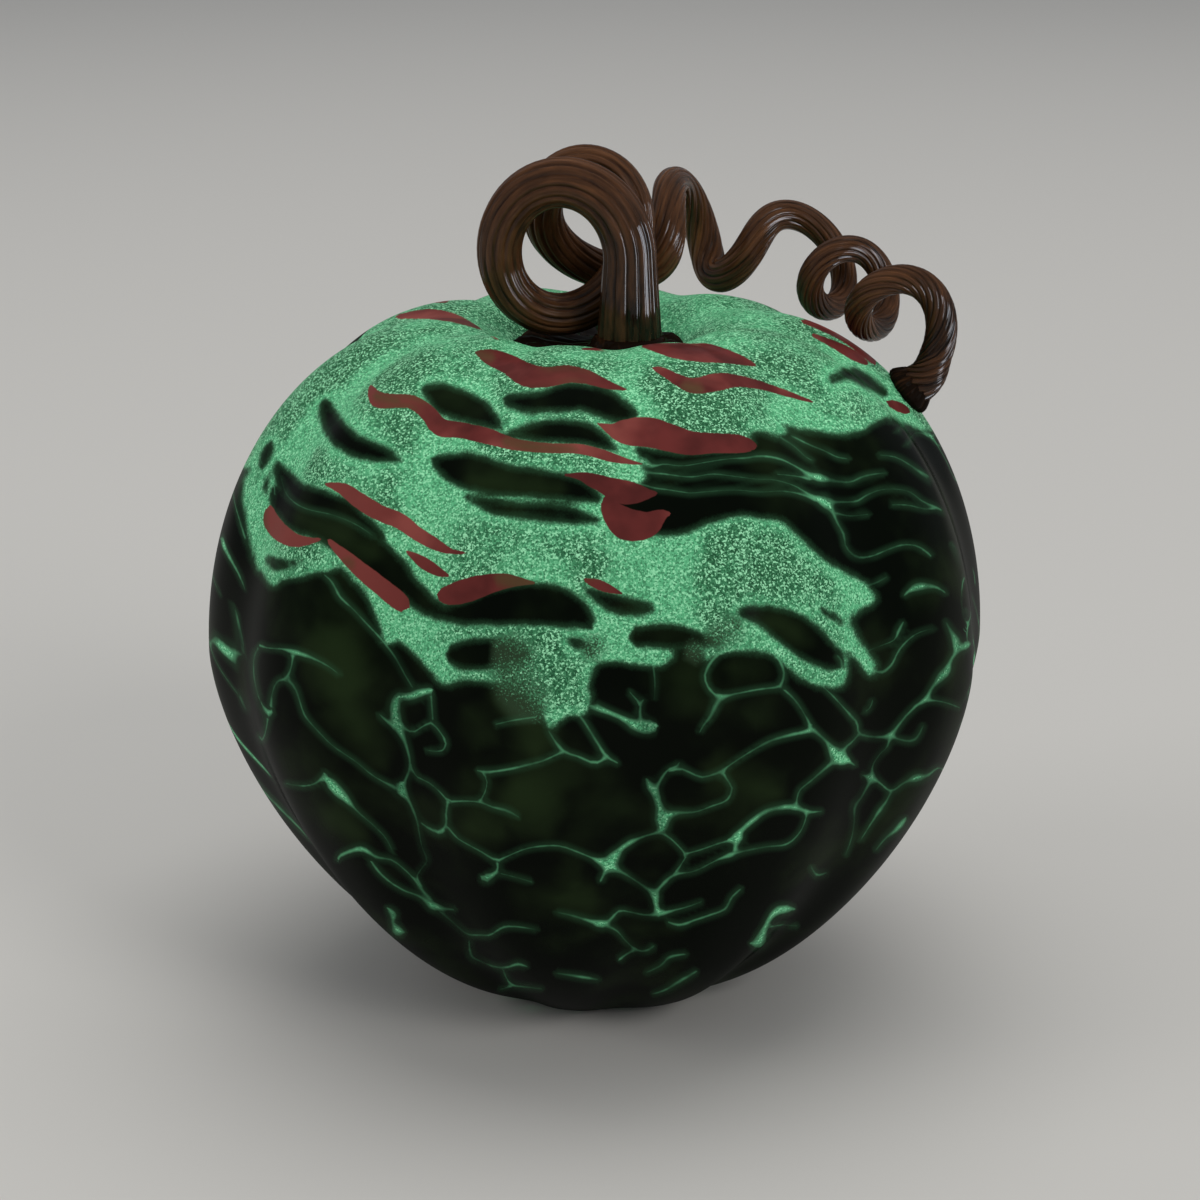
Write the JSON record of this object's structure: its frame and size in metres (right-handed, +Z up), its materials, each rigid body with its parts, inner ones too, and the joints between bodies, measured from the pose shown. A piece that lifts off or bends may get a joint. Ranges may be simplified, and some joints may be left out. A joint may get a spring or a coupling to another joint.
{
  "type": "glass pumpkin",
  "caption": "Blown glass pumpkin with soft lobes, a glowing layer under dark and red flecks, and a fluted brown cane curled into stem and vine.",
  "frame": {"origin": "middle of the flat base, on the surface that the pumpkin stands on", "axes": "+Z up along the axis of the body, -Y toward the front seen in the picture, +X toward the end of the vine"},
  "size_m": [0.1512, 0.1508, 0.1652],
  "materials": {
    "flecked_casing": "glossy fire-polished glass, mint glow showing between dark green-black cells and red flames",
    "glow_powder": "fine phosphorescent powder fused between two layers",
    "clear_glass": "clear, smooth",
    "brown_cane": "glossy dark brown glass with fine flutes along the cane"
  },
  "bodies": {
    "root": {"ribbed_casing": "flecked_casing", "glow_layer": "glow_powder", "inner_bubble": "clear_glass", "stem_foot": "brown_cane", "curled_stem": "brown_cane", "vine_foot": "brown_cane"}
  },
  "joints": []
}
